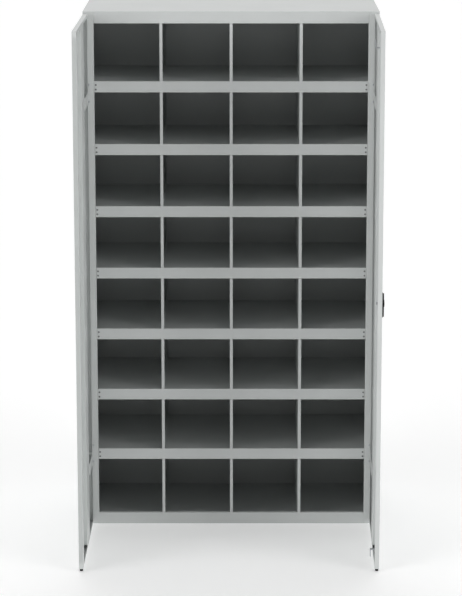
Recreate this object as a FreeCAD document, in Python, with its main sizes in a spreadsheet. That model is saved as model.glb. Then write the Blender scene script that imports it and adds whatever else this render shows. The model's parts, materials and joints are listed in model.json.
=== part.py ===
import FreeCAD, Part
import math
import os
import re

# Pigeonhole cabinet in sheet steel with two full-height doors, in millimetres.
# X runs from left to right, Y from front to back and Z up; the origin is the centre of the underside.
# The doors and the lock are drawn closed and then turned about the hinge pins to where they rest.

DIMENSIONS = {
    # Carcass
    "cabinet_width": 1000,
    "cabinet_depth": 480,
    "cabinet_height": 1800,
    "panel_sheet": 1.2,
    "post_width": 36.5,
    "post_return": 18,
    "rear_return": 20,
    "top_rail_height": 40,
    "base_rail_height": 41,
    "rail_return": 16,
    "back_inset": 20,
    # Shelves, each with a lip that stands a little above its plate
    "first_lip_bottom": 235.6,
    "shelf_pitch": 215,
    "lip_height": 38,
    "lip_rise": 7,
    "lip_return": 14,
    "lip_end_gap": 0.5,
    "shelf_flange": 20,
    # Dividers
    "divider_sheet": 1.2,
    "divider_fold": 10,
    "divider_spacing": 236.6,
    "divider_clearance": 0.5,
    # Angle brackets and rivets at the shelf ends
    "bracket_leg": 14,
    "bracket_gap": 1,
    "rivet_radius": 2,
    "rivet_head_radius": 3.2,
    "rivet_head_height": 1,
    "rivet_inset": 6,
    "upper_rivet_drop": 12.5,
    "lower_rivet_drop": 28,
    "fastener_clearance": 0.05,
    # Doors
    "door_gap": 6,
    "door_depth": 15,
    "door_sheet": 1,
    "door_side_reveal": 2,
    "door_top_reveal": 7,
    "door_ground_gap": 10,
    "centre_gap": 3,
    "free_lip": 20,
    "hinge_lip": 12,
    "end_lip": 12,
    "stiffener_offset": 177,
    "stiffener_width": 118,
    "stiffener_flange": 12,
    "stiffener_end_gap": 14,
    "stiffener_drop": 0.5,
    "overlap_land": 18,
    "overlap_reach": 14,
    "overlap_thickness": 1.6,
    "overlap_joggle": 0.5,
    "glide_radius": 6.5,
    "glide_foot_radius": 5.5,
    "glide_height": 9,
    "glide_inset": 12,
    "glide_stem_radius": 3,
    "glide_stem_length": 4,
    # Hinges
    "axis_inset": 7.5,
    "left_open_angle": 90.5,
    "right_open_angle": 89,
    "upper_hinge_height": 1508,
    "lower_hinge_height": 242,
    "leaf_thickness": 2,
    "leaf_inside": 16.5,
    "leaf_outside": 4.5,
    "leaf_above": 52,
    "leaf_below": 20,
    "barrel_radius": 5,
    "barrel_height": 16,
    "neck_width": 5,
    "pin_radius": 3,
    "pin_clearance": 0.05,
    "pin_head_radius": 4.5,
    "pin_head_height": 2,
    "pin_tail": 2.5,
    "ear_thickness": 3,
    "ear_gap": 0.5,
    "strap_length": 120,
    "strap_height": 40,
    "strap_sheet": 1.5,
    "strap_offset": 10.5,
    "notch_height": 37,
    "notch_depth": 14,
    "screw_radius": 2,
    "screw_head_radius": 3.5,
    "screw_head_height": 1.5,
    "screw_length": 6,
    "screw_inset": 10,
    "upper_screw_rise": 44,
    "lower_screw_drop": 14,
    # Lock and handle
    "lock_offset": 440,
    "lock_height": 900,
    "plate_thickness": 3,
    "plate_radius": 14,
    "grip_radius": 11,
    "grip_thickness": 3.8,
    "grip_gap": 0.2,
    "grip_rise": 23,
    "grip_drop": 34,
    "boss_radius": 12,
    "boss_height": 5.3,
    "plug_radius": 8,
    "plug_depth": 3.5,
    "plug_proud": 0.3,
    "keyway_width": 1.6,
    "keyway_height": 8,
    "keyway_depth": 2.5,
    "collar_radius": 11,
    "collar_length": 4,
    "collar_clearance": 0.2,
    "spindle_radius": 6,
    "spindle_square": 8,
    "square_clearance": 0.05,
    "cam_gap": 0.5,
    "cam_thickness": 3,
    "cam_radius": 21,
    "crank_radius": 16,
    "crank_pin_radius": 3,
    "crank_pin_length": 5,
    "cam_screw_radius": 2.5,
    "cam_screw_length": 6,
    "cam_screw_head_radius": 4.8,
    "cam_screw_head_height": 10,
    "rod_width": 12,
    "rod_thickness": 3,
    "rod_gap": 0.5,
    "rod_end_height": 16,
    "rod_slot_clearance": 0.7,
    "rod_slot_wall": 2.5,
    "rod_tip_gap": 3,
    "rail_slot_clearance": 1.5,
    "hook_inset": 6,
    "guide_wall": 2,
    "guide_clearance": 0.4,
    "guide_height": 20,
    "near_guide_distance": 300,
    "far_guide_distance": 750,
}
SHELVES = 7
ROWS = SHELVES + 1
COLUMNS = (-1, 0, 1)
SIDES = {"left": -1, "right": 1}
HINGES = ("lower_hinge_height", "upper_hinge_height")

doc = FreeCAD.newDocument("pigeonhole_cabinet")
sheet = doc.addObject("Spreadsheet::Sheet", "Sizes")
for row, (alias, number) in enumerate(DIMENSIONS.items(), start=1):
    sheet.set(f"A{row}", alias.replace("_", " "))
    sheet.set(f"B{row}", str(number))
    sheet.setAlias(f"B{row}", alias)
doc.recompute()
nodes = []

# Faces that several pieces share, as formulas in the sheet's names
HALF_WIDTH = "(cabinet_width/2)"
FRONT = "(-cabinet_depth/2)"
BACK = "(cabinet_depth/2)"
TOP = "cabinet_height"
SIDE_INNER = f"({HALF_WIDTH} - panel_sheet)"
OPENING = f"({HALF_WIDTH} - post_width)"
FRONT_INNER = f"({FRONT} + panel_sheet)"
POST_BACK = f"({FRONT} + post_return)"
RAIL_BACK = f"({FRONT} + rail_return)"
BACK_WALL = f"({BACK} - back_inset)"
FLOOR = "panel_sheet"
CEILING = f"({TOP} - panel_sheet)"
TOP_RAIL = f"({TOP} - top_rail_height)"

DOOR_BACK = f"({FRONT} - door_gap)"
DOOR_FRONT = f"({DOOR_BACK} - door_depth)"
FACE_INNER = f"({DOOR_FRONT} + door_sheet)"
HINGE_EDGE = f"({HALF_WIDTH} - door_side_reveal)"
FREE_EDGE = "(centre_gap/2)"
DOOR_BOTTOM = "door_ground_gap"
DOOR_TOP = f"({TOP} - door_top_reveal)"
AXIS_X = f"({HINGE_EDGE} - axis_inset)"
AXIS_Y = f"({DOOR_BACK} - axis_inset)"

LOCK_X = f"({AXIS_X} - lock_offset)"
GRIP_BACK = f"({DOOR_FRONT} - plate_thickness - grip_gap)"
GRIP_FRONT = f"({GRIP_BACK} - grip_thickness)"
BOSS_FRONT = f"({GRIP_BACK} - boss_height)"
PLUG_BACK = f"({BOSS_FRONT} + plug_depth)"
COLLAR_END = f"({FACE_INNER} + collar_length)"
CAM_FRONT = f"({COLLAR_END} + cam_gap)"
CAM_BACK = f"({CAM_FRONT} + cam_thickness)"
ROD_FRONT = f"({CAM_BACK} + rod_gap)"
ROD_BACK = f"({ROD_FRONT} + rod_thickness)"
CRANK = "(crank_radius*sqrt(0.5))"
ROD_TRAVEL = f"(2*{CRANK})"
HOOK_Y = f"({FRONT} + hook_inset)"


# Helpers that draw simple solids whose sizes and places stay tied to the sheet
def tied(formula):
    return re.sub(r"[a-z]\w*", lambda word: f"Sizes.{word[0]}" if word[0] in DIMENSIONS else word[0], formula)


def block(x, y, z, side=1, name="block"):
    box = doc.addObject("Part::Box", name)
    low, high = x if side > 0 else (f"-({x[1]})", f"-({x[0]})")
    spans = {"x": ("Length", low, high), "y": ("Width", *y), "z": ("Height", *z)}
    for axis, (size, start, end) in spans.items():
        box.setExpression(size, tied(f"({end}) - ({start})"))
        box.setExpression(f"Placement.Base.{axis}", tied(start))
    return box


def round_bar(axis, centre, span, radius, side=1, foot_radius=None):
    """A cylinder along Y or Z, or a cone where foot_radius is given. centre is (x, z) or (x, y)."""
    kind = "Part::Cone" if foot_radius else "Part::Cylinder"
    bar = doc.addObject(kind, "round_bar")
    if axis == "y":
        bar.Placement.Rotation = FreeCAD.Rotation(FreeCAD.Vector(1, 0, 0), -90)
    start = {"x": f"({side})*({centre[0]})", "y": centre[1], "z": centre[1], axis: span[0]}
    for direction, place in start.items():
        bar.setExpression(f"Placement.Base.{direction}", tied(place))
    bar.setExpression("Height", tied(f"({span[1]}) - ({span[0]})"))
    if foot_radius:
        bar.setExpression("Radius1", tied(foot_radius))
        bar.setExpression("Radius2", tied(radius))
    else:
        bar.setExpression("Radius", tied(radius))
    return bar


def joined(*parts):
    if len(parts) == 1:
        return parts[0]
    whole = doc.addObject("Part::MultiFuse", "joined")
    whole.Shapes = list(parts)
    whole.Refine = True
    return whole


def group(parts):
    bundle = doc.addObject("Part::Compound", "group")
    bundle.Links = list(parts)
    return bundle


def without(whole, *tools):
    rest = doc.addObject("Part::Cut", "without")
    rest.Base = whole
    rest.Tool = tools[0] if len(tools) == 1 else group(tools)
    return rest


def node(label, shape, door=None):
    shape.Label = label
    nodes.append((shape, door))


def between(middle, half):
    return f"({middle}) - ({half})", f"({middle}) + ({half})"


def lip_bottom(shelf):
    return f"(first_lip_bottom + {shelf - 1}*shelf_pitch)"


def lip_top(shelf):
    return f"({lip_bottom(shelf)} + lip_height)"


def plate_top(shelf):
    return f"({lip_top(shelf)} - lip_rise)"


# Side panels: one sheet folded into the front post and the rear return
def hinge_screw_places():
    for height in HINGES:
        yield f"({height} + upper_screw_rise)"
        yield f"({height} - lower_screw_drop)"


SCREW_X = f"({AXIS_X} - screw_inset)"

for name, side in SIDES.items():
    tall = (FLOOR, CEILING)
    web = block((SIDE_INNER, HALF_WIDTH), (FRONT, BACK), tall, side)
    post = block((OPENING, SIDE_INNER), (FRONT, FRONT_INNER), tall, side)
    post_edge = block((OPENING, f"{OPENING} + panel_sheet"), (FRONT_INNER, POST_BACK), tall, side)
    rear = block((f"{HALF_WIDTH} - rear_return", SIDE_INNER), (f"{BACK} - panel_sheet", BACK), tall, side)
    holes = [
        round_bar("y", (SCREW_X, height), (FRONT, FRONT_INNER), "screw_radius + fastener_clearance", side)
        for height in hinge_screw_places()
    ]
    node(f"{name}_side_panel", without(joined(web, post, post_edge, rear), *holes))

# Back panel: a pan set in from the rear, with its flanges turned backwards
flange_depth = (f"{BACK_WALL} + panel_sheet", f"{BACK} - panel_sheet")
back_pieces = [block((f"-{SIDE_INNER}", SIDE_INNER), (BACK_WALL, f"{BACK_WALL} + panel_sheet"), (FLOOR, CEILING))]
for side in SIDES.values():
    edge = (f"{SIDE_INNER} - panel_sheet", SIDE_INNER)
    back_pieces.append(block(edge, flange_depth, (FLOOR, CEILING), side))
for z in ((FLOOR, f"{FLOOR} + panel_sheet"), (f"{CEILING} - panel_sheet", CEILING)):
    back_pieces.append(block((f"-{SIDE_INNER}", SIDE_INNER), flange_depth, z))
node("back_panel", joined(*back_pieces))


# Top and base: a full sheet with a folded front rail, whose return takes the end of a locking rod
def rail_slot(centre_x, z):
    reach = (f"{HOOK_Y} - rail_slot_clearance", f"{HOOK_Y} + rod_thickness + rail_slot_clearance")
    return block(between(centre_x, "rod_width/2 + rail_slot_clearance"), reach, z)


ROD_X = {"upper": f"({LOCK_X} + crank_radius)", "lower": f"({LOCK_X} - crank_radius)"}


def capping(label, skin, rail, rail_edge, rear, rod):
    whole = (f"-{HALF_WIDTH}", HALF_WIDTH)
    mouth = (f"-{OPENING}", OPENING)
    rear_width = (f"-({HALF_WIDTH} - rear_return)", f"{HALF_WIDTH} - rear_return")
    pieces = (
        block(whole, (FRONT, BACK), skin),
        block(mouth, (FRONT, FRONT_INNER), rail),
        block(mouth, (FRONT_INNER, RAIL_BACK), rail_edge),
        block(rear_width, (f"{BACK} - panel_sheet", BACK), rear),
    )
    node(label, without(joined(*pieces), rail_slot(ROD_X[rod], rail_edge)))


capping(
    "top_panel",
    skin=(CEILING, TOP),
    rail=(TOP_RAIL, CEILING),
    rail_edge=(TOP_RAIL, f"{TOP_RAIL} + panel_sheet"),
    rear=(f"{TOP} - rear_return", CEILING),
    rod="upper",
)
capping(
    "base_panel",
    skin=("0", FLOOR),
    rail=(FLOOR, "base_rail_height"),
    rail_edge=("base_rail_height - panel_sheet", "base_rail_height"),
    rear=(FLOOR, "rear_return"),
    rod="lower",
)

# Shelves: a plate notched round the posts, a front lip with a return, and flanges at sides and rear
RIVET_X = f"({OPENING} - rivet_inset)"
BRACKET_BACK = f"({FRONT_INNER} + panel_sheet)"


def rivet_places(shelf):
    for side in SIDES.values():
        for drop in ("upper_rivet_drop", "lower_rivet_drop"):
            yield side, f"({lip_top(shelf)} - {drop})"


def rivet_hole(side, height):
    through = (FRONT, BRACKET_BACK)
    return round_bar("y", (RIVET_X, height), through, "rivet_radius + fastener_clearance", side)


for shelf in range(1, SHELVES + 1):
    plate = (f"{plate_top(shelf)} - panel_sheet", plate_top(shelf))
    hem = (f"{plate_top(shelf)} - shelf_flange", plate_top(shelf))
    lip_half = f"({OPENING} - lip_end_gap)"
    pieces = [
        block((f"-{SIDE_INNER}", SIDE_INNER), (POST_BACK, BACK_WALL), plate),
        block((f"-{OPENING}", OPENING), (FRONT_INNER, POST_BACK), plate),
        block((f"-{lip_half}", lip_half), (FRONT, FRONT_INNER), (lip_bottom(shelf), lip_top(shelf))),
        block(
            (f"-{lip_half}", lip_half),
            (FRONT_INNER, f"{FRONT} + lip_return"),
            (lip_bottom(shelf), f"{lip_bottom(shelf)} + panel_sheet"),
        ),
        block((f"-{SIDE_INNER}", SIDE_INNER), (f"{BACK_WALL} - panel_sheet", BACK_WALL), hem),
    ]
    for side in SIDES.values():
        pieces.append(block((f"{SIDE_INNER} - panel_sheet", SIDE_INNER), (POST_BACK, BACK_WALL), hem, side))
    holes = [rivet_hole(side, height) for side, height in rivet_places(shelf)]
    node(f"shelf_{shelf}", without(joined(*pieces), *holes))

# Angle brackets behind the lip ends, on the inner edge of each post, and their blind rivets
brackets = []
rivets = []
for shelf in range(1, SHELVES + 1):
    tall = (
        f"{lip_bottom(shelf)} + panel_sheet + bracket_gap",
        f"{plate_top(shelf)} - panel_sheet - bracket_gap",
    )
    for side in SIDES.values():
        front_leg = block((f"{OPENING} - bracket_leg", OPENING), (FRONT_INNER, BRACKET_BACK), tall, side)
        side_leg = block((f"{OPENING} - panel_sheet", OPENING), (BRACKET_BACK, RAIL_BACK), tall, side)
        holes = [rivet_hole(side, height) for at, height in rivet_places(shelf) if at == side]
        brackets.append(without(joined(front_leg, side_leg), *holes))
    for side, height in rivet_places(shelf):
        place = (RIVET_X, height)
        head = round_bar("y", place, (f"{FRONT} - rivet_head_height", FRONT), "rivet_head_radius", side)
        shank = round_bar("y", place, (FRONT, BRACKET_BACK), "rivet_radius", side)
        tail_end = f"{BRACKET_BACK} + rivet_head_height"
        tail = round_bar("y", place, (BRACKET_BACK, tail_end), "rivet_radius + 0.5*rivet_head_height", side)
        rivets.append(joined(head, shank, tail))
node("shelf_brackets", group(brackets))
node("shelf_rivets", group(rivets))

# Dividers: a web with a fold of the same width down the front, along the foot and down the rear
DIVIDER_REAR = f"({BACK_WALL} - panel_sheet)"
DIVIDER_CLEAR = f"({RAIL_BACK} + divider_clearance)"
for row in range(1, ROWS + 1):
    foot = FLOOR if row == 1 else plate_top(row - 1)
    front_foot = "base_rail_height" if row == 1 else foot
    front_head = TOP_RAIL if row == ROWS else lip_bottom(row)
    head = CEILING if row == ROWS else f"{plate_top(row)} - panel_sheet"
    for number, column in enumerate(COLUMNS, start=1):
        left = f"({column}*divider_spacing - divider_fold/2)"
        right = f"({left} + divider_fold)"
        web = (left, f"{left} + divider_sheet")
        front = (FRONT_INNER, f"{FRONT_INNER} + divider_sheet")
        pieces = (
            block(web, (FRONT_INNER, DIVIDER_CLEAR), (front_foot, front_head)),
            block(web, (DIVIDER_CLEAR, DIVIDER_REAR), (foot, head)),
            block((left, right), front, (front_foot, front_head)),
            block((left, right), (DIVIDER_CLEAR, DIVIDER_REAR), (foot, f"{foot} + divider_sheet")),
            block((left, right), (f"{DIVIDER_REAR} - divider_sheet", DIVIDER_REAR), (foot, head)),
        )
        node(f"divider_{row}_{number}", joined(*pieces))


# Hinges: a leaf with a barrel on each post, a strap with two ears in the door, and a headed pin
PIN_BORE = "pin_radius + pin_clearance"
LEAF_FRONT = f"({FRONT} - leaf_thickness)"
EAR_START = "(barrel_height/2 + ear_gap)"
EAR_END = f"({EAR_START} + ear_thickness)"
STRAP_NEAR = f"({AXIS_X} - strap_offset)"
screws = []
for name, side in SIDES.items():
    leaves, straps, pins = [], [], []
    for height in HINGES:
        barrel_span = between(height, "barrel_height/2")
        leaf = block(
            (f"{AXIS_X} - leaf_inside", f"{AXIS_X} + leaf_outside"),
            (LEAF_FRONT, FRONT),
            (f"{height} - leaf_below", f"{height} + leaf_above"),
            side,
        )
        neck = block(between(AXIS_X, "neck_width/2"), (AXIS_Y, LEAF_FRONT), barrel_span, side)
        barrel = round_bar("z", (AXIS_X, AXIS_Y), barrel_span, "barrel_radius", side)
        bore = round_bar("z", (AXIS_X, AXIS_Y), barrel_span, PIN_BORE, side)
        places = (f"({height} + upper_screw_rise)", f"({height} - lower_screw_drop)")
        holes = [
            round_bar("y", (SCREW_X, place), (LEAF_FRONT, FRONT), "screw_radius + fastener_clearance", side)
            for place in places
        ]
        leaves.append(without(joined(leaf, neck, barrel), bore, *holes))
        for place in places:
            screw_tip = f"{LEAF_FRONT} + screw_length"
            screw_face = f"{LEAF_FRONT} - screw_head_height"
            screw_head = round_bar("y", (SCREW_X, place), (screw_face, LEAF_FRONT), "screw_head_radius", side)
            shank = round_bar("y", (SCREW_X, place), (LEAF_FRONT, screw_tip), "screw_radius", side)
            screws.append(joined(screw_head, shank))

        strap_tall = between(height, "strap_height/2")
        strap_far = f"({STRAP_NEAR} - strap_length)"
        bridge = block((strap_far, STRAP_NEAR), (f"{DOOR_BACK} - strap_sheet", DOOR_BACK), strap_tall, side)
        legs = [
            block((start, f"{start} + strap_sheet"), (FACE_INNER, DOOR_BACK), strap_tall, side)
            for start in (strap_far, f"({STRAP_NEAR} - strap_sheet)")
        ]
        ears = [
            block(
                (f"{STRAP_NEAR} - strap_sheet", f"{AXIS_X} + barrel_radius"),
                (FACE_INNER, f"{AXIS_Y} + barrel_radius"),
                span,
                side,
            )
            for span in (
                (f"{height} + {EAR_START}", f"{height} + {EAR_END}"),
                (f"{height} - {EAR_END}", f"{height} - {EAR_START}"),
            )
        ]
        ear_bore = round_bar("z", (AXIS_X, AXIS_Y), between(height, EAR_END), PIN_BORE, side)
        straps.append(without(joined(bridge, *legs, *ears), ear_bore))

        shank_span = (f"{height} - {EAR_END} - pin_tail", f"{height} + {EAR_END}")
        head_span = (f"{height} + {EAR_END}", f"{height} + {EAR_END} + pin_head_height")
        shank = round_bar("z", (AXIS_X, AXIS_Y), shank_span, "pin_radius", side)
        pin_head = round_bar("z", (AXIS_X, AXIS_Y), head_span, "pin_head_radius", side)
        pins.append(joined(shank, pin_head))
    node(f"{name}_frame_hinges", group(leaves))
    node(f"{name}_hinge_straps", group(straps), door=name)
    node(f"{name}_hinge_pins", group(pins), door=name)
node("hinge_screws", group(screws))

# Doors: a shallow tray, open to the inside, with lips round its rim and a hat-section stiffener
GLIDE_PLACE = (f"{FREE_EDGE} + glide_inset", AXIS_Y)
for name, side in SIDES.items():
    wide = (FREE_EDGE, HINGE_EDGE)
    tall = (DOOR_BOTTOM, DOOR_TOP)
    flange = (FACE_INNER, DOOR_BACK)
    rim = (f"{DOOR_BACK} - door_sheet", DOOR_BACK)
    tray = [
        block(wide, (DOOR_FRONT, FACE_INNER), tall, side),
        block((f"{HINGE_EDGE} - door_sheet", HINGE_EDGE), flange, tall, side),
        block((FREE_EDGE, f"{FREE_EDGE} + door_sheet"), flange, tall, side),
        block(wide, flange, (DOOR_BOTTOM, f"{DOOR_BOTTOM} + door_sheet"), side),
        block(wide, flange, (f"{DOOR_TOP} - door_sheet", DOOR_TOP), side),
        block((f"{HINGE_EDGE} - hinge_lip", HINGE_EDGE), rim, tall, side),
        block((FREE_EDGE, f"{FREE_EDGE} + free_lip"), rim, tall, side),
        block(wide, rim, (DOOR_BOTTOM, f"{DOOR_BOTTOM} + end_lip"), side),
        block(wide, rim, (f"{DOOR_TOP} - end_lip", DOOR_TOP), side),
    ]
    cuts = [
        block((f"{HINGE_EDGE} - notch_depth", HINGE_EDGE), flange, between(height, "notch_height/2"), side)
        for height in HINGES
    ]
    stem_hole = (DOOR_BOTTOM, f"{DOOR_BOTTOM} + door_sheet")
    cuts.append(round_bar("z", GLIDE_PLACE, stem_hole, "glide_stem_radius + fastener_clearance", side))
    if name == "right":
        face = (DOOR_FRONT, FACE_INNER)
        cuts.append(round_bar("y", (LOCK_X, "lock_height"), face, "collar_radius + collar_clearance", side))
    node(f"{name}_door_panel", without(joined(*tray), *cuts), door=name)

    hat_near = f"({HINGE_EDGE} - stiffener_offset)"
    hat_far = f"({hat_near} - stiffener_width)"
    hat_back = f"({DOOR_BACK} - stiffener_drop)"
    hat_tall = (f"{DOOR_BOTTOM} + stiffener_end_gap", f"{DOOR_TOP} - stiffener_end_gap")
    foot = (FACE_INNER, f"{FACE_INNER} + door_sheet")
    hat = (
        block((hat_far, hat_near), (f"{hat_back} - door_sheet", hat_back), hat_tall, side),
        block((hat_far, f"{hat_far} + door_sheet"), (FACE_INNER, hat_back), hat_tall, side),
        block((f"{hat_near} - door_sheet", hat_near), (FACE_INNER, hat_back), hat_tall, side),
        block((f"{hat_far} - stiffener_flange", hat_far), foot, hat_tall, side),
        block((hat_near, f"{hat_near} + stiffener_flange"), foot, hat_tall, side),
    )
    node(f"{name}_door_stiffener", joined(*hat), door=name)

    pad = (f"{DOOR_BOTTOM} - glide_height", DOOR_BOTTOM)
    stem = (DOOR_BOTTOM, f"{DOOR_BOTTOM} + glide_stem_length")
    glide_pad = round_bar("z", GLIDE_PLACE, pad, "glide_radius", side, foot_radius="glide_foot_radius")
    glide_stem = round_bar("z", GLIDE_PLACE, stem, "glide_stem_radius", side)
    node(f"{name}_door_glide", joined(glide_pad, glide_stem), door=name)

# Overlap strip: spot-welded to the left door's rim and joggled to lie behind the right door
strip_back = f"({DOOR_BACK} + overlap_thickness)"
strip_tall = (f"{DOOR_BOTTOM} + free_lip", f"{DOOR_TOP} - free_lip")
land = block((f"-({FREE_EDGE} + overlap_land)", f"-{FREE_EDGE}"), (DOOR_BACK, strip_back), strip_tall)
tongue = block((f"-{FREE_EDGE}", "overlap_reach"), (f"{DOOR_BACK} + overlap_joggle", strip_back), strip_tall)
node("overlap_strip", joined(land, tongue), door="left")


# Handle: a fixed plate and collar, and a grip whose spindle turns in the collar and drives the cam
def stadium(radius, front, back):
    low = "(lock_height - grip_drop)"
    high = "(lock_height + grip_rise)"
    middle = block(between(LOCK_X, radius), (front, back), (low, high))
    ends = [round_bar("y", (LOCK_X, height), (front, back), radius) for height in (low, high)]
    return [middle, *ends]


LOCK_AXIS = (LOCK_X, "lock_height")
PLATE_FRONT = f"({DOOR_FRONT} - plate_thickness)"
collar = round_bar("y", LOCK_AXIS, (DOOR_FRONT, COLLAR_END), "collar_radius")
collar_bore = round_bar("y", LOCK_AXIS, (PLATE_FRONT, COLLAR_END), "spindle_radius + pin_clearance")
handle_base = without(joined(*stadium("plate_radius", PLATE_FRONT, DOOR_FRONT), collar), collar_bore)
node("handle_base", handle_base, door="right")

boss = round_bar("y", LOCK_AXIS, (BOSS_FRONT, GRIP_BACK), "boss_radius")
spindle = round_bar("y", LOCK_AXIS, (GRIP_BACK, COLLAR_END), "spindle_radius")
square = block(
    between(LOCK_X, "spindle_square/2"), (COLLAR_END, CAM_BACK), between("lock_height", "spindle_square/2")
)
plug_pocket = round_bar("y", LOCK_AXIS, (BOSS_FRONT, PLUG_BACK), "plug_radius + pin_clearance")
screw_start = f"({CAM_BACK} - cam_screw_length)"
thread_hole = round_bar("y", LOCK_AXIS, (screw_start, CAM_BACK), "cam_screw_radius + fastener_clearance")
grip = joined(*stadium("grip_radius", GRIP_FRONT, GRIP_BACK), boss, spindle, square)
node("handle_lever", without(grip, plug_pocket, thread_hole), door="right")

PLUG_FRONT = f"({BOSS_FRONT} - plug_proud)"
plug = round_bar("y", LOCK_AXIS, (PLUG_FRONT, PLUG_BACK), "plug_radius")
keyway = block(
    between(LOCK_X, "keyway_width/2"),
    (PLUG_FRONT, f"{PLUG_FRONT} + keyway_depth"),
    between("lock_height", "keyway_height/2"),
)
node("key_cylinder", without(plug, keyway), door="right")

# Cam: a disc on the spindle's square, with a crank pin on each side for the two rods
disc = round_bar("y", LOCK_AXIS, (CAM_FRONT, CAM_BACK), "cam_radius")
crank_pins = [
    round_bar(
        "y",
        (f"{LOCK_X} + {sign}*{CRANK}", f"lock_height - {sign}*{CRANK}"),
        (CAM_BACK, f"{CAM_BACK} + crank_pin_length"),
        "crank_pin_radius",
    )
    for sign in (1, -1)
]
half_square = "spindle_square/2 + square_clearance"
cam_hole = block(between(LOCK_X, half_square), (CAM_FRONT, CAM_BACK), between("lock_height", half_square))
node("locking_cam", without(joined(disc, *crank_pins), cam_hole), door="right")

screw_shank = round_bar("y", LOCK_AXIS, (screw_start, CAM_BACK), "cam_screw_radius")
head_end = f"{CAM_BACK} + cam_screw_head_height"
screw_head = round_bar("y", LOCK_AXIS, (CAM_BACK, head_end), "cam_screw_head_radius")
node("cam_screw", joined(screw_shank, screw_head), door="right")

# Rods: flat bars with a slotted end on the cam's pin and a hooked tip that rises behind the rail
SLOT_HALF = "(crank_pin_radius + rod_slot_clearance)"
guides = []
for rod, sign in (("upper", 1), ("lower", -1)):
    pin_height = f"(lock_height - {sign}*{CRANK})"
    rail_edge = TOP_RAIL if rod == "upper" else "base_rail_height"
    tip = f"({rail_edge} - {sign}*rod_tip_gap)"
    elbow = f"({rail_edge} - {sign}*({ROD_TRAVEL} + rod_tip_gap))"
    elbow_under = f"({elbow} - {sign}*rod_thickness)"
    bar_x = between(ROD_X[rod], "rod_width/2")
    reach = f"({ROD_X[rod]} + {sign}*rod_width/2)"
    end_inner = f"({LOCK_X} + {sign}*({CRANK} - {SLOT_HALF} - rod_slot_wall))"
    end_outer = f"({LOCK_X} + {sign}*(crank_radius + {SLOT_HALF} + rod_slot_wall))"
    slot_inner = f"({LOCK_X} + {sign}*({CRANK} - {SLOT_HALF}))"
    slot_outer = f"({LOCK_X} + {sign}*(crank_radius + {SLOT_HALF}))"

    def ordered(first, second):
        return (first, second) if sign > 0 else (second, first)

    bar_y = (ROD_FRONT, ROD_BACK)
    bar = block(bar_x, bar_y, ordered(pin_height, elbow))
    end_plate = block(ordered(end_inner, end_outer), bar_y, between(pin_height, "rod_end_height/2"))
    slot = block(ordered(slot_inner, slot_outer), bar_y, between(pin_height, SLOT_HALF))
    crank = block(bar_x, (ROD_FRONT, f"{HOOK_Y} + rod_thickness"), ordered(elbow_under, elbow))
    hook = block(bar_x, (HOOK_Y, f"{HOOK_Y} + rod_thickness"), ordered(elbow_under, tip))
    node(f"{rod}_rod", without(joined(bar, end_plate, crank, hook), slot), door="right")

    for distance in ("near_guide_distance", "far_guide_distance"):
        tall = between(f"lock_height + {sign}*{distance}", "guide_height/2")
        inner = "(rod_width/2 + guide_clearance)"
        outer = f"({inner} + guide_wall)"
        loop_back = f"({ROD_BACK} + guide_clearance)"
        loop_front = f"({ROD_FRONT} - guide_clearance)"
        loop = [
            block((f"{ROD_X[rod]} - {outer}", f"{ROD_X[rod]} - {inner}"), (FACE_INNER, loop_back), tall),
            block((f"{ROD_X[rod]} + {inner}", f"{ROD_X[rod]} + {outer}"), (FACE_INNER, loop_back), tall),
            block(between(ROD_X[rod], outer), (loop_back, f"{loop_back} + guide_wall"), tall),
            block(between(ROD_X[rod], outer), (f"{loop_front} - guide_wall", loop_front), tall),
        ]
        guides.append(joined(*loop))
node("rod_guides", group(guides), door="right")

# Turn each door's pieces about its pins, then test every object and write the files
doc.recompute()


def size(alias):
    return float(sheet.get(alias))


pin_x = size("cabinet_width") / 2 - size("door_side_reveal") - size("axis_inset")
pin_y = -size("cabinet_depth") / 2 - size("door_gap") - size("axis_inset")
for shape, door in nodes:
    if door:
        side = SIDES[door]
        turn = FreeCAD.Rotation(FreeCAD.Vector(0, 0, 1), side * size(f"{door}_open_angle"))
        pin = FreeCAD.Vector(side * pin_x, pin_y, 0)
        shape.Placement = FreeCAD.Placement(FreeCAD.Vector(), turn, pin)
doc.recompute()

for item in doc.Objects:
    if {"Invalid", "Error"} & set(item.State):
        raise RuntimeError(f"{item.Name} ({item.Label}) did not build: {item.State}")
for shape, _ in nodes:
    if shape.Shape.isNull() or not shape.Shape.isValid() or not shape.Shape.Solids:
        raise RuntimeError(f"{shape.Label} has no valid solid")

os.makedirs("parts", exist_ok=True)
for shape, _ in nodes:
    shape.Shape.exportStep(f"parts/{shape.Label}.step")
    print(shape.Label, len(shape.Shape.Solids), round(shape.Shape.Volume / 1000, 2), "cm3")
print(len(nodes), "nodes; rods travel", round(math.sqrt(2) * size("crank_radius"), 3), "mm in a quarter turn")
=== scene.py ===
# %% [markdown]
# # A steel pigeonhole cabinet
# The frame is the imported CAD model: sheet-steel panels, doors, hinges and a lock, each a node on a moving
# body. Blender adds what the eye reads: bent and deburred edges, rivet domes, screw recesses, powder coat,
# plated steel and moulded plastic. Everything is placed from the frame, so nothing has to be fitted by eye.

# %% Load the frame
import json
import math

import bmesh
import bpy
from mathutils import Matrix, Vector


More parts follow.
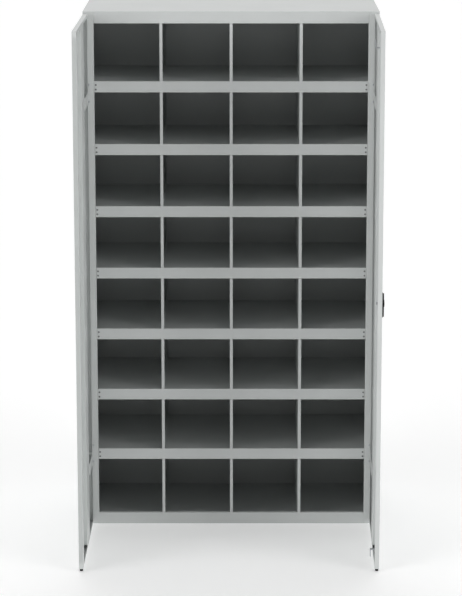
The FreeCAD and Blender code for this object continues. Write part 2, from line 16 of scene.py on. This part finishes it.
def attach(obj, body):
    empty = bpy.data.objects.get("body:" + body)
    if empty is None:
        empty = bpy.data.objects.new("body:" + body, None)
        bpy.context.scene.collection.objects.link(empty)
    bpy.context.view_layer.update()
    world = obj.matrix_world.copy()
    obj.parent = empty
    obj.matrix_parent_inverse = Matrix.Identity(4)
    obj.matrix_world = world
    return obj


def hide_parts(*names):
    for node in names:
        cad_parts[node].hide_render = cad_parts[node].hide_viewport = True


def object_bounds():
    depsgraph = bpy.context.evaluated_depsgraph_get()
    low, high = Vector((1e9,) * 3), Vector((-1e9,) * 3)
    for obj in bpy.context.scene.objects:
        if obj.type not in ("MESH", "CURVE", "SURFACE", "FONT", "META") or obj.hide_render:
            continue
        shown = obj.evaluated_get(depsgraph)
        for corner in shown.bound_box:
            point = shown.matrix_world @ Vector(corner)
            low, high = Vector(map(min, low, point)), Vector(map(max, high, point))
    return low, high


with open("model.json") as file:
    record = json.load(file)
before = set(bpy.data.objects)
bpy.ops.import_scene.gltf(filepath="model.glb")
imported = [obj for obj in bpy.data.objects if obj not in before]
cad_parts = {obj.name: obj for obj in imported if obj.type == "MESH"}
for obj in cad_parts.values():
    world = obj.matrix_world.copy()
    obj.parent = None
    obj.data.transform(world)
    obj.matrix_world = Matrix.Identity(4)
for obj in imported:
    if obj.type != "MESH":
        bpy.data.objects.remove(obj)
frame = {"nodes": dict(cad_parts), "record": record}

MM = 0.001
cad_box = [list(corner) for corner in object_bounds()]
slot_of = {part["node"]: part["material_slot"] for part in frame["record"]["subparts"]}
body_of = {node: body for body, nodes in frame["record"]["behaviour"]["bodies"].items() for node in nodes}
print("CAD box in metres", cad_box)

# %% [markdown]
# ## Colour and nodes
# Paint makers and screens give colours in sRGB, but a shader adds up light, so every hex value is turned
# to linear once, here. One helper adds a node, sets its values and links its inputs, which keeps each
# material below as short as its recipe.

# %% Helpers for materials
def linear(hex_colour):
    channels = [int(hex_colour[i : i + 2], 16) / 255 for i in (1, 3, 5)]
    return [c / 12.92 if c <= 0.04045 else ((c + 0.055) / 1.055) ** 2.4 for c in channels] + [1.0]


def add_node(tree, kind, settings=None, **inputs):
    """Adds a node; settings are its properties, and inputs are values or sockets, by the socket's name."""
    made = tree.nodes.new(kind)
    for name, value in (settings or {}).items():
        setattr(made, name, value)
    for name, value in inputs.items():
        socket = made.inputs[name.replace("_", " ")]
        if isinstance(value, bpy.types.NodeSocket):
            tree.links.new(value, socket)
        else:
            socket.default_value = value
    return made


def new_material(name):
    material = bpy.data.materials.new(name)
    material.use_nodes = True
    material.node_tree.nodes.clear()
    place = add_node(material.node_tree, "ShaderNodeTexCoord").outputs["Object"]
    return material, material.node_tree, place


def close(tree, surface):
    add_node(tree, "ShaderNodeOutputMaterial", Surface=surface.outputs[0])


def ramp(tree, factor, low, high, start=0.0, end=1.0):
    blend = add_node(tree, "ShaderNodeValToRGB", Fac=factor)
    for element, position, colour in zip(blend.color_ramp.elements, (start, end), (low, high)):
        element.position = position
        element.color = colour
    return blend.outputs["Color"]


def per_metre(millimetres):
    """The scale of a texture whose features are this far apart."""
    return 1.0 / (millimetres * MM)


print("mid grey #808080 is", round(linear("#808080")[0], 4), "in linear light")

# %% [markdown]
# ## Powder coat
# Light grey polyester powder is sprayed dry on the folded steel and melted in an oven. It flows into a
# satin film with a fine orange peel, a touch uneven in tone where the film is thick or thin. The ripple
# is a bump and not geometry, because it is only some hundredths of a millimetre high. The film draws back
# from an edge as it melts, so edges are a shade lighter: a Pointiness ramp would show that only on dense
# meshes, so the bevelled rims below catch the light instead.

# %% Powder coat
PEEL_MM = 1.6  # from ripple to ripple
CLOUD_MM = 180  # slow changes in film thickness
FILM_IOR = 1.5  # polyester
FILM_ROUGHNESS = 0.42  # satin
ROUGHNESS_SWING = 0.05
PEEL_STRENGTH = 0.12
PEEL_HEIGHT = 0.00006  # metres


def powder_coat(name, light, dark):
    material, tree, place = new_material(name)
    cloud = add_node(tree, "ShaderNodeTexNoise", Vector=place, Scale=per_metre(CLOUD_MM), Detail=3.0)
    speck = add_node(tree, "ShaderNodeTexNoise", Vector=place, Scale=per_metre(PEEL_MM), Detail=2.0)
    tone = ramp(tree, cloud.outputs["Fac"], linear(dark), linear(light), 0.35, 0.65)
    gloss = add_node(
        tree,
        "ShaderNodeMapRange",
        Value=speck.outputs["Fac"],
        To_Min=FILM_ROUGHNESS - ROUGHNESS_SWING,
        To_Max=FILM_ROUGHNESS + ROUGHNESS_SWING,
    )
    peel = add_node(
        tree, "ShaderNodeBump", Strength=PEEL_STRENGTH, Distance=PEEL_HEIGHT, Height=speck.outputs["Fac"]
    )
    surface = add_node(
        tree,
        "ShaderNodeBsdfPrincipled",
        Base_Color=tone,
        Roughness=gloss.outputs["Result"],
        IOR=FILM_IOR,
        Normal=peel.outputs["Normal"],
    )
    close(tree, surface)
    return material


cabinet_paint = powder_coat("powder_coated_steel_cabinet", "#CBCECD", "#C7CAC9")
door_paint = powder_coat("powder_coated_steel_doors", "#CBCECD", "#C8CBCA")
print("orange peel every", PEEL_MM, "mm")

# %% [markdown]
# ## Plated steel
# Rods, pins and screws are mild steel with bright zinc plate, dipped and passivated: a bluish silver whose
# crystals blur it a little. The lock's cylinder is turned and nickel plated, which is warmer and sharper.
# Blind rivets are left dull. All are metals, so they keep the default IOR and take their colour in the
# reflection.

# %% Plated steel
GRAIN_SWING = 0.08  # of roughness, over the crystals
PLATE_STRENGTH = 0.2
PLATE_HEIGHT = 0.00003  # metres


def plated(name, colour, shade, roughness, grain_mm):
    material, tree, place = new_material(name)
    grain = add_node(tree, "ShaderNodeTexNoise", Vector=place, Scale=per_metre(grain_mm), Detail=5.0)
    tone = ramp(tree, grain.outputs["Fac"], linear(shade), linear(colour), 0.3, 0.7)
    gloss = add_node(
        tree,
        "ShaderNodeMapRange",
        Value=grain.outputs["Fac"],
        To_Min=roughness - GRAIN_SWING,
        To_Max=roughness + GRAIN_SWING,
    )
    bump = add_node(
        tree, "ShaderNodeBump", Strength=PLATE_STRENGTH, Distance=PLATE_HEIGHT, Height=grain.outputs["Fac"]
    )
    surface = add_node(
        tree,
        "ShaderNodeBsdfPrincipled",
        Base_Color=tone,
        Metallic=1.0,
        Roughness=gloss.outputs["Result"],
        Normal=bump.outputs["Normal"],
    )
    close(tree, surface)
    return material


zinc_plate = plated("bright_zinc_plated_steel", "#C9CCCE", "#AEB2B5", 0.34, 2.5)
nickel_plate = plated("turned_nickel_plate", "#D2CEC4", "#B9B4A8", 0.22, 0.8)
rivet_steel = plated("dull_steel_rivet", "#8A8C8C", "#707373", 0.45, 1.0)
print("metals:", zinc_plate.name, nickel_plate.name, rivet_steel.name)

# %% [markdown]
# ## Moulded plastic and rubber
# The handle is glass-filled polyamide from a spark-eroded mould, which leaves a fine matt grain. The door
# glides are moulded rubber, rougher and with almost no highlight.

# %% Moulded plastic and rubber
MATT_SPECULAR = 0.3
MOULD_STRENGTH = 0.35
MOULD_HEIGHT = 0.00005  # metres


def moulded(name, colour, shade, roughness, grain_mm, ior):
    material, tree, place = new_material(name)
    grain = add_node(tree, "ShaderNodeTexNoise", Vector=place, Scale=per_metre(grain_mm), Detail=2.0)
    tone = ramp(tree, grain.outputs["Fac"], linear(shade), linear(colour), 0.3, 0.7)
    bump = add_node(
        tree, "ShaderNodeBump", Strength=MOULD_STRENGTH, Distance=MOULD_HEIGHT, Height=grain.outputs["Fac"]
    )
    surface = add_node(
        tree,
        "ShaderNodeBsdfPrincipled",
        Base_Color=tone,
        Roughness=roughness,
        IOR=ior,
        Specular_IOR_Level=MATT_SPECULAR,
        Normal=bump.outputs["Normal"],
    )
    close(tree, surface)
    return material


handle_plastic = moulded("moulded_black_polyamide", "#0E0E0F", "#080809", 0.6, 0.5, 1.53)
glide_rubber = moulded("moulded_black_rubber", "#161616", "#0E0E0E", 0.7, 0.9, 1.52)
print("moulded:", handle_plastic.name, glide_rubber.name)

# %% [markdown]
# ## Finish of each node
# The record gives every node a material slot. The same table finishes the CAD nodes and the pieces that
# stand for them.

# %% Finish the CAD nodes
finish = {
    "cabinet_paint": cabinet_paint,
    "door_paint": door_paint,
    "zinc_steel": zinc_plate,
    "rivet_steel": rivet_steel,
    "handle_plastic": handle_plastic,
    "cylinder_nickel": nickel_plate,
    "glide_rubber": glide_rubber,
}
for name, node in frame["nodes"].items():
    node.data.materials.clear()
    node.data.materials.append(finish[slot_of[name]])
print(len(slot_of), "nodes finished in", len(finish), "materials")

# %% [markdown]
# ## Folded and deburred sheet
# A press brake folds sheet over a punch, so the outside of a bend is round by a little more than the
# sheet's thickness, while a sheared rim is only broken with a file. The CAD model draws both sharp. Each
# piece is a copy of its node: coplanar triangles are dissolved into whole faces, edges between two broad
# faces become bends, and then the rims are broken. A face counts as a rim when it is no wider than the
# thickest sheet, which holds however the piece is turned.

# %% Helpers for pieces
RIM_WIDTH = 3.2 * MM
SMOOTH_ANGLE = math.radians(35)
SHARP_ANGLE = math.radians(60)
FLAT_ANGLE = math.radians(0.5)
WELD_DISTANCE = 0.002 * MM


def welded(node):
    """A bmesh of a CAD node with its split corners joined again."""
    mesh = bmesh.new()
    mesh.from_mesh(frame["nodes"][node].data)
    bmesh.ops.remove_doubles(mesh, verts=mesh.verts, dist=WELD_DISTANCE)
    return mesh


def whole_faces(mesh):
    bmesh.ops.dissolve_limit(mesh, angle_limit=FLAT_ANGLE, verts=mesh.verts, edges=mesh.edges)


def face_width(face):
    return face.calc_area() / max(edge.calc_length() for edge in face.edges)


def outer_edges(mesh, shortest):
    """Sharp edges that stand out, in two lists: between two broad faces, and along a rim."""
    bends, rims = [], []
    for edge in mesh.edges:
        if len(edge.link_faces) != 2 or edge.calc_length() < shortest or not edge.is_convex:
            continue
        if edge.calc_face_angle(0.0) > SHARP_ANGLE:
            broad = all(face_width(face) > RIM_WIDTH for face in edge.link_faces)
            (bends if broad else rims).append(edge)
    return bends, rims


def rounded(mesh, edges, radius, steps):
    if edges:
        bmesh.ops.bevel(
            mesh, geom=edges, offset=radius, segments=steps, profile=0.5, affect="EDGES", clamp_overlap=True
        )


def piece(name, mesh, body, slot, replaces=()):
    """Turns a bmesh into an object that rides on a body, in the finish of a slot."""
    bmesh.ops.recalc_face_normals(mesh, faces=mesh.faces)
    data = bpy.data.meshes.new(name)
    mesh.to_mesh(data)
    mesh.free()
    for face in data.polygons:
        face.use_smooth = True
    data.set_sharp_from_angle(angle=SMOOTH_ANGLE)
    data.materials.append(finish[slot])
    made = bpy.data.objects.new(name, data)
    bpy.context.scene.collection.objects.link(made)
    shading = made.modifiers.new("even_shading", "WEIGHTED_NORMAL")
    shading.keep_sharp = True
    if replaces:
        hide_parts(*replaces)
    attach(made, body)
    return made


print("faces up to", RIM_WIDTH / MM, "mm wide are rims")

# %% [markdown]
# ## Sheet and flat bar, node by node
# Every painted node and both rods are treated alike: the bends are rounded first, and then the rims are
# broken. Edges too short to carry a bevel are left alone.

# %% Folded sheet and flat bar
BEND_RADIUS = 1.5 * MM
BEND_STEPS = 3
RIM_BREAK = 0.25 * MM
RIM_STEPS = 1
SHORTEST_EDGE = 2.5 * MM
BARS = ("upper_rod", "lower_rod")


def folded(node):
    mesh = welded(node)
    whole_faces(mesh)
    bends, _ = outer_edges(mesh, SHORTEST_EDGE)
    rounded(mesh, bends, BEND_RADIUS, BEND_STEPS)
    _, rims = outer_edges(mesh, SHORTEST_EDGE)
    rounded(mesh, rims, RIM_BREAK, RIM_STEPS)
    made = piece(f"{node}_folded", mesh, body_of[node], slot_of[node], replaces=[node])
    return len(bends), len(rims), len(made.data.polygons)


counts = [folded(node) for node in sorted(frame["nodes"]) if slot_of[node].endswith("_paint") or node in BARS]
print(len(counts), "pieces folded with", sum(count[0] for count in counts), "bends,")
print(sum(count[1] for count in counts), "broken rims and", sum(count[2] for count in counts), "faces")

# %% [markdown]
# ## Turned pieces
# Rivets, pins, screws and glides are round, so each is a profile of (radius, height) points swept about an
# axis. The CAD node says where: its loose solids are found by walking from corner to corner, and the box
# of each gives the axis. One piece then holds every rivet, as one node does.

# %% Helpers for turned pieces
AROUND = 32
DOME_STEPS = 6
NO_RADIUS = 1e-6  # metres: a ring this small is a point
FRONT = Vector((0, -1, 0))
UP = Vector((0, 0, 1))


def solids(node):
    """The lowest and highest corner of each loose solid of a CAD node."""
    mesh = welded(node)
    unseen = set(mesh.verts)
    boxes = []
    while unseen:
        front = [unseen.pop()]
        corners = []
        while front:
            corner = front.pop()
            corners.append(corner.co.copy())
            for edge in corner.link_edges:
                other = edge.other_vert(corner)
                if other in unseen:
                    unseen.remove(other)
                    front.append(other)
        low, high = ([pick(c[i] for c in corners) for i in range(3)] for pick in (min, max))
        boxes.append((Vector(low), Vector(high)))
    mesh.free()
    return sorted(boxes, key=lambda corner: tuple(corner[0]))


def turn(mesh, profile, start, along):
    """Sweeps (radius, height) points about the line from start in the direction along."""
    stand = Matrix.Translation(start) @ along.to_track_quat("Z", "Y").to_matrix().to_4x4()
    rings = []
    for radius, height in profile:
        if radius == 0:
            rings.append([mesh.verts.new(stand @ Vector((0, 0, height)))])
            continue
        angles = [2 * math.pi * i / AROUND for i in range(AROUND)]
        circle = [Vector((radius * math.cos(a), radius * math.sin(a), height)) for a in angles]
        rings.append([mesh.verts.new(stand @ point) for point in circle])
    for lower, upper in zip(rings, rings[1:]):
        for i in range(AROUND):
            ring = [lower[i % len(lower)], lower[(i + 1) % len(lower)]]
            ring += [upper[(i + 1) % len(upper)], upper[i % len(upper)]]
            mesh.faces.new(list(dict.fromkeys(ring)))


def dome(radius, base, rise, pit=0.0):
    """Profile points of a dome from its rim to a pit of that radius, or to its crown."""
    points = []
    for i in range(DOME_STEPS + 1):
        angle = math.pi / 2 * i / DOME_STEPS
        across = radius * math.cos(angle)
        if across < max(pit, NO_RADIUS):
            break
        points.append((across, base + rise * math.sin(angle)))
    return points


print("round pieces have", AROUND, "facets")

# %% [markdown]
# ## Blind rivets
# A blind rivet has a low dome with the broken mandrel deep in its middle. The dome stands on the post, and
# the tail has swelled behind the bracket.

# %% Blind rivets
MANDREL_RADIUS = 0.9 * MM
MANDREL_DEPTH = 0.6 * MM
MANDREL_MOUTH = 0.15 * MM
RIVET_SHANK = 2.0 * MM
RIVET_CROWN = 1.0 * MM
SWELL = 0.5 * MM
SWELL_FROM, SWELL_TO = 0.3 * MM, 0.7 * MM
rivets = bmesh.new()
boxes = solids("shelf_rivets")
for low, high in boxes:
    middle = (low + high) / 2
    head = (high.x - low.x) / 2
    long = high.y - low.y
    profile = [(0, 0), (RIVET_SHANK, 0)]
    profile += [(RIVET_SHANK + SWELL, SWELL_FROM), (RIVET_SHANK + SWELL, SWELL_TO)]
    profile += [(RIVET_SHANK, RIVET_CROWN), (RIVET_SHANK, long - RIVET_CROWN)]
    profile += dome(head, long - RIVET_CROWN, RIVET_CROWN, pit=MANDREL_RADIUS)
    profile += [(MANDREL_RADIUS, long - MANDREL_MOUTH), (MANDREL_RADIUS, long - MANDREL_DEPTH)]
    profile += [(0, long - MANDREL_DEPTH)]
    turn(rivets, profile, Vector((middle.x, high.y, middle.z)), FRONT)
piece("domed_blind_rivets", rivets, "cabinet", "rivet_steel", replaces=["shelf_rivets"])
print(len(boxes), "rivets")

# %% [markdown]
# ## Hinge screws
# Pan-head screws with a cross recess hold the hinge leaves. A recess is a hole in a curved face, which is
# slow to draw by hand, so one cutter is subtracted from one head, and the result is copied to each place.

# %% Hinge screws
RECESS_ARM = 1.9 * MM
RECESS_HALF = 0.42 * MM
RECESS_DEPTH = 0.95 * MM
FOOT_SHARE = 0.6  # of the cross's size, at the recess's floor
MOUTH_SHARE = 1.15  # of it, above the head
CUT_THROUGH = 0.5 * MM
SCREW_HEAD = 1.5 * MM
SCREW_SHANK = 2.0 * MM
DOMED_SHARE = 0.8  # of the head's height


def cross_cutter(height):
    """A cross that narrows towards its foot, standing on the XY plane at the recess's floor."""
    outline = []
    for quarter in range(4):
        turned = Matrix.Rotation(quarter * math.pi / 2, 2)
        for point in ((RECESS_ARM, -RECESS_HALF), (RECESS_ARM, RECESS_HALF), (RECESS_HALF, RECESS_HALF)):
            outline.append(turned @ Vector(point))
    cutter = bmesh.new()
    floor_height, top = height - RECESS_DEPTH, height + CUT_THROUGH
    foot = [cutter.verts.new((FOOT_SHARE * p.x, FOOT_SHARE * p.y, floor_height)) for p in outline]
    mouth = [cutter.verts.new((MOUTH_SHARE * p.x, MOUTH_SHARE * p.y, top)) for p in outline]
    cutter.faces.new(foot[::-1])
    cutter.faces.new(mouth)
    for i in range(len(outline)):
        j = (i + 1) % len(outline)
        cutter.faces.new((foot[i], foot[j], mouth[j], mouth[i]))
    return cutter


def temporary(name, mesh):
    bmesh.ops.recalc_face_normals(mesh, faces=mesh.faces)
    data = bpy.data.meshes.new(name)
    mesh.to_mesh(data)
    mesh.free()
    made = bpy.data.objects.new(name, data)
    bpy.context.scene.collection.objects.link(made)
    return made


boxes = solids("hinge_screws")
long = boxes[0][1].y - boxes[0][0].y
head = (boxes[0][1].x - boxes[0][0].x) / 2
crown = DOMED_SHARE * SCREW_HEAD
blank = bmesh.new()
profile = [(0, 0), (SCREW_SHANK, 0), (SCREW_SHANK, long - SCREW_HEAD)]
profile += [(head, long - SCREW_HEAD), (head, long - crown)]
profile += dome(head, long - crown, crown)[1:] + [(0, long)]
turn(blank, profile, Vector((0, 0, 0)), UP)
screw_blank = temporary("screw_blank", blank)
recess = temporary("cross_recess", cross_cutter(long))
cut = screw_blank.modifiers.new("recess", "BOOLEAN")
cut.operation = "DIFFERENCE"
cut.object = recess
cut.solver = "EXACT"
driven = bpy.data.meshes.new_from_object(screw_blank.evaluated_get(bpy.context.evaluated_depsgraph_get()))
screws = bmesh.new()
for low, high in boxes:
    first = len(screws.verts)
    screws.from_mesh(driven)
    screws.verts.ensure_lookup_table()
    centre = Vector(((low.x + high.x) / 2, high.y, (low.z + high.z) / 2))
    place = Matrix.Translation(centre) @ FRONT.to_track_quat("Z", "Y").to_matrix().to_4x4()
    bmesh.ops.transform(screws, matrix=place, verts=screws.verts[first:])
piece("cross_head_screws", screws, "cabinet", "zinc_steel", replaces=["hinge_screws"])
for spare in (screw_blank, recess):
    bpy.data.objects.remove(spare)
print(len(boxes), "screws, each with", len(driven.polygons), "faces")

# %% [markdown]
# ## Hinge pins
# Each pin drops through the strap's ears and the barrel. Its head is a low dome and its tail is chamfered.

# %% Hinge pins
PIN_RADIUS = 3.0 * MM
PIN_CHAMFER = 0.6 * MM
PIN_HEAD = 2.0 * MM
PIN_DOME = 0.7 * PIN_HEAD
for side in ("left", "right"):
    pins = bmesh.new()
    for low, high in solids(f"{side}_hinge_pins"):
        middle = (low + high) / 2
        head = (high.x - low.x) / 2
        long = high.z - low.z
        profile = [(0, 0), (PIN_RADIUS - PIN_CHAMFER, 0), (PIN_RADIUS, PIN_CHAMFER)]
        profile += [(PIN_RADIUS, long - PIN_HEAD), (head, long - PIN_HEAD), (head, long - PIN_DOME)]
        profile += dome(head, long - PIN_DOME, PIN_DOME)[1:] + [(0, long)]
        turn(pins, profile, Vector((middle.x, middle.y, low.z)), UP)
    piece(f"{side}_domed_pins", pins, f"{side}_door", "zinc_steel", replaces=[f"{side}_hinge_pins"])
print("pins turned", PIN_RADIUS / MM, "mm in radius")

# %% [markdown]
# ## Door glides
# A rubber foot under each door's free corner carries it while it is open. It tapers to the floor and has
# two shallow grooves, and its stem is pressed up into the door.

# %% Door glides
FOOT_HEIGHT = 9.0 * MM
FOOT_TAPER = 1.0 * MM
FOOT_CHAMFER = 0.6 * MM
GROOVES = (3.0 * MM, 6.0 * MM)
GROOVE_DEPTH = 0.5 * MM  # and half its width, and the top chamfer
STEM_RADIUS = 3.0 * MM
for side in ("left", "right"):
    low, high = solids(f"{side}_door_glide")[0]
    middle = (low + high) / 2
    long = high.z - low.z
    wide = (high.x - low.x) / 2
    narrow = wide - FOOT_TAPER
    glide = bmesh.new()
    profile = [(0, 0), (narrow - FOOT_CHAMFER, 0), (narrow, FOOT_CHAMFER)]
    for groove in GROOVES:
        edge = narrow + (wide - narrow) * groove / FOOT_HEIGHT
        profile += [(edge, groove - GROOVE_DEPTH), (edge - GROOVE_DEPTH, groove), (edge, groove + GROOVE_DEPTH)]
    profile += [(wide, FOOT_HEIGHT - GROOVE_DEPTH), (wide - GROOVE_DEPTH, FOOT_HEIGHT)]
    profile += [(STEM_RADIUS, FOOT_HEIGHT), (STEM_RADIUS, long), (0, long)]
    turn(glide, profile, Vector((middle.x, middle.y, low.z)), UP)
    piece(f"{side}_grooved_glide", glide, f"{side}_door", "glide_rubber", replaces=[f"{side}_door_glide"])
    print(side, "glide", round(2000 * wide, 1), "mm across")

# %% [markdown]
# ## Handle, cylinder, cam and cam screw
# The grip and its plate come from a mould, so every outer edge is round by about a millimetre, much more
# than on the steel. The lock's cylinder keeps its keyway, with a turned edge, and the cam and its screw have
# every edge broken. Copies of the nodes with these bevels keep the fit between them.

# %% Handle, cylinder, cam and cam screw
SOFTENED = {
    "handle_base": (1.0 * MM, 4),
    "handle_lever": (1.1 * MM, 4),
    "key_cylinder": (0.25 * MM, 2),
    "cam_screw": (0.3 * MM, 2),
    "locking_cam": (0.3 * MM, 2),
}
for node, (radius, steps) in SOFTENED.items():
    mesh = welded(node)
    whole_faces(mesh)
    bends, rims = outer_edges(mesh, 0.0)
    rounded(mesh, bends + rims, radius, steps)
    made = piece(f"{node}_softened", mesh, body_of[node], slot_of[node], replaces=[node])
    print(node, len(bends + rims), "edges,", len(made.data.polygons), "faces")

# %% [markdown]
# ## Studio
# The cabinet stands on a plain white floor that glows a little, as a lit sweep does, and fills the shadows
# from below. The light is a world of a few soft lobes: one from each front corner, and weaker ones from
# ahead, above and behind. Light from the corners passes the open doors at a slant and reaches the shelves
# from both sides. The world looks plain white to the camera.

# %% Floor and light
FLOOR_GLOW = 0.26
FLOOR_SIZE = 40  # metres
MOTTLE_MM = 900
bpy.ops.mesh.primitive_plane_add(size=FLOOR_SIZE, location=(0, 0, 0))
floor = bpy.context.object
floor.name = "studio_floor"
floor_material, tree, place = new_material("matt_white_studio_floor")
mottle = add_node(tree, "ShaderNodeTexNoise", Vector=place, Scale=per_metre(MOTTLE_MM), Detail=2.0)
tone = ramp(tree, mottle.outputs["Fac"], linear("#F7F7F7"), linear("#F9F9F9"))
lit_floor = add_node(tree, "ShaderNodeBsdfPrincipled", Base_Color=tone, Roughness=0.9, IOR=1.45)
lit_floor.inputs["Emission Color"].default_value = (1, 1, 1, 1)
lit_floor.inputs["Emission Strength"].default_value = FLOOR_GLOW
close(tree, lit_floor)
floor.data.materials.append(floor_material)

# A lobe is soft light from one side: its direction, how tightly it gathers, and its strength.
LOBES = {
    "left_corner": ((-0.85, -0.53, 0.2), 24, 6.9),
    "right_corner": ((0.85, -0.53, 0.2), 24, 6.3),
    "ahead": ((0, -1, 0.15), 12, 0.35),
    "behind": ((0, 1, 0.5), 4, 1.4),
    "overhead": ((0, 0, 1), 4, 1.0),
}
world = bpy.data.worlds.new("white_studio")
bpy.context.scene.world = world
world.use_nodes = True
sky = world.node_tree
sky.nodes.clear()
towards = add_node(sky, "ShaderNodeTexCoord").outputs["Generated"]
total = None
for axis, gather, strength in LOBES.values():
    facing = add_node(sky, "ShaderNodeVectorMath", {"operation": "DOT_PRODUCT"})
    sky.links.new(towards, facing.inputs[0])
    facing.inputs[1].default_value = Vector(axis).normalized()
    ahead = add_node(sky, "ShaderNodeMath", {"operation": "MAXIMUM"}, Value=facing.outputs["Value"])
    ahead.inputs[1].default_value = 0.0
    gathered = add_node(sky, "ShaderNodeMath", {"operation": "POWER"}, Value=ahead.outputs[0])
    gathered.inputs[1].default_value = gather
    lobe = add_node(sky, "ShaderNodeMath", {"operation": "MULTIPLY_ADD"}, Value=gathered.outputs[0])
    lobe.inputs[1].default_value = strength
    lobe.inputs[2].default_value = 0.0
    if total is not None:
        sky.links.new(total, lobe.inputs[2])
    total = lobe.outputs[0]
seen = add_node(sky, "ShaderNodeBackground", Strength=1.0, Color=(1, 1, 1, 1))
lit = add_node(sky, "ShaderNodeBackground", Strength=total, Color=(1, 1, 1, 1))
path = add_node(sky, "ShaderNodeLightPath")
mixed = add_node(sky, "ShaderNodeMixShader", Fac=path.outputs["Is Camera Ray"])
sky.links.new(lit.outputs[0], mixed.inputs[1])
sky.links.new(seen.outputs[0], mixed.inputs[2])
add_node(sky, "ShaderNodeOutputWorld", Surface=mixed.outputs[0])
print(len(LOBES), "lobes of light")

# %% [markdown]
# ## Camera
# The camera stands well back from the open front and a little above the top, so the top face just shows.
# It looks slightly down and shifts its sensor for the rest, which keeps the uprights nearly parallel.

# %% Camera
LOOKING_DOWN = 11.41  # degrees
STANDPOINT = Vector((0.0272, -8.279, 2.6856))
FOCAL_LENGTH = 144.8  # on a sensor 36 wide, both in millimetres
SHIFT = (-0.0137, -0.12)
camera_data = bpy.data.cameras.new("camera")
camera = bpy.data.objects.new("camera", camera_data)
bpy.context.scene.collection.objects.link(camera)
bpy.context.scene.camera = camera
camera_data.sensor_width = 36
camera_data.lens = FOCAL_LENGTH
camera_data.shift_x, camera_data.shift_y = SHIFT
camera_data.clip_end = 100
camera.location = STANDPOINT
camera.rotation_euler = (math.radians(90 - LOOKING_DOWN), 0, 0)
view = bpy.context.scene.view_settings
view.view_transform = "Standard"
view.look = "None"
middle = (Vector(cad_box[0]) + Vector(cad_box[1])) / 2
print("camera", round((STANDPOINT - middle).length, 2), "m from the middle of the CAD box")
